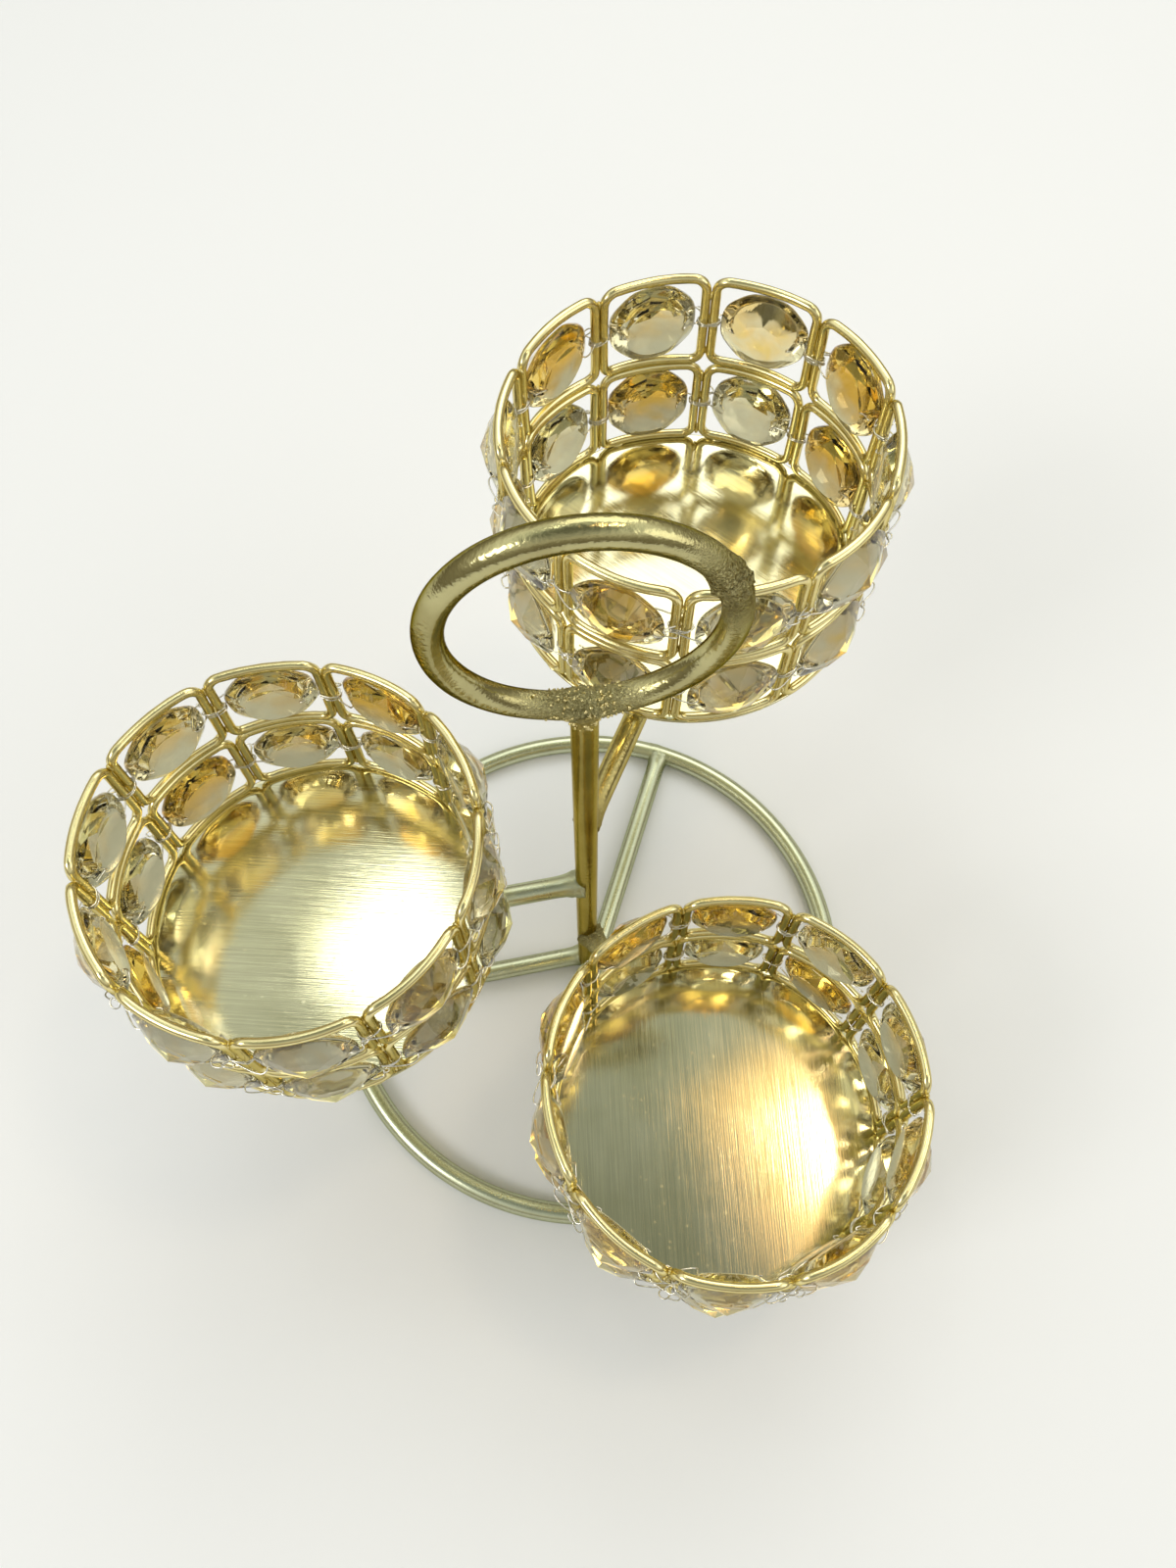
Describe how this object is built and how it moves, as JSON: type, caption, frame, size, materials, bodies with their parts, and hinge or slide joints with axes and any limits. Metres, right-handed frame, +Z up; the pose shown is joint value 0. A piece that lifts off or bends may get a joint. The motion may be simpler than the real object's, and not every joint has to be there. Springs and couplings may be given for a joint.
{
  "type": "tiered tealight holder stand",
  "caption": "Welded rod stand with a ring base, a ring handle and openwork candle cups at staggered heights, each cup walled with wire-framed crystals.",
  "frame": {"origin": "on the post's axis at the floor, the centre of the post's cut foot", "axes": "+Z up along the post; +X to the right and +Y away from the viewer, as the picture shows the stand"},
  "size_m": [0.2184, 0.2466, 0.2475],
  "materials": {
    "frame_rod": "bright gold-coloured plating with grainy welds",
    "base_rod": "paler satin gold-coloured plating",
    "cell_wire": "bright gold-coloured plating",
    "cup_disc": "finely brushed mirror",
    "crystal": "polished cut glass, clear to champagne and amber",
    "tie_wire": "bright thin wire"
  },
  "bodies": {
    "root": {"base_ring": "base_rod", "left_spoke": "base_rod", "back_spoke": "base_rod", "front_spoke": "base_rod", "post": "frame_rod", "handle_ring": "frame_rod", "low_arm": "frame_rod", "middle_arm": "frame_rod", "top_arm": "frame_rod", "low_cup_disc": "cup_disc", "low_cup_lower_cells": "cell_wire", "low_cup_upper_cells": "cell_wire", "low_cup_lower_crystals": "crystal", "low_cup_upper_crystals": "crystal", "low_cup_ties": "tie_wire", "middle_cup_disc": "cup_disc", "middle_cup_lower_cells": "cell_wire", "middle_cup_upper_cells": "cell_wire", "middle_cup_lower_crystals": "crystal", "middle_cup_upper_crystals": "crystal", "middle_cup_ties": "tie_wire", "top_cup_disc": "cup_disc", "top_cup_lower_cells": "cell_wire", "top_cup_upper_cells": "cell_wire", "top_cup_lower_crystals": "crystal", "top_cup_upper_crystals": "crystal", "top_cup_ties": "tie_wire"}
  },
  "joints": []
}
